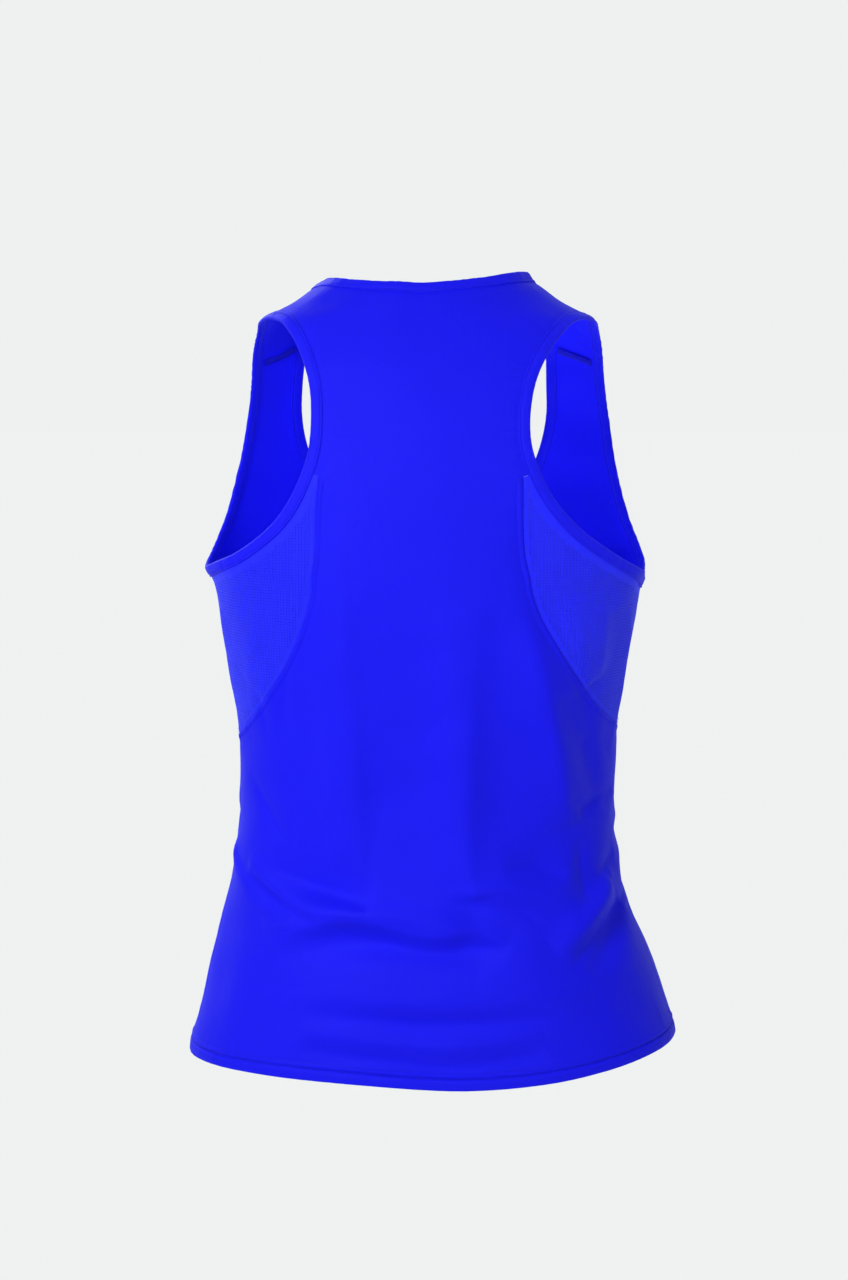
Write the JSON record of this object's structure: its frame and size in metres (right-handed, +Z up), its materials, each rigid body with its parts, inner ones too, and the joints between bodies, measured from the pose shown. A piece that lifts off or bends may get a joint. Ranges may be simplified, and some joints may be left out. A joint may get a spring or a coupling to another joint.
{
  "type": "racerback sports singlet",
  "caption": "Sleeveless sports top with a racerback, filled out as if worn: mesh insets behind the arms, bound scoop neck and armholes, and a flared hem that is open below.",
  "frame": {"origin": "midway between the two shoulder straps, level with the middle of each strap's crest, where the wearer's shoulders hold the garment", "axes": "+Z up, from the hem to the shoulders; +Y towards the garment's back, with its front towards -Y; +X towards the wearer's left"},
  "size_m": [0.3868, 0.2294, 0.6145],
  "materials": {
    "main_knit": "royal blue polyester knit with a soft sheen",
    "eyelet_mesh": "royal blue eyelet mesh, a little lighter",
    "binding_knit": "royal blue knit binding, folded and stitched"
  },
  "bodies": {
    "root": {"back_panel": "main_knit", "front_panel": "main_knit", "mesh_panel_left": "eyelet_mesh", "mesh_panel_right": "eyelet_mesh", "neck_binding": "binding_knit", "armhole_binding_left": "binding_knit", "armhole_binding_right": "binding_knit"}
  },
  "joints": []
}
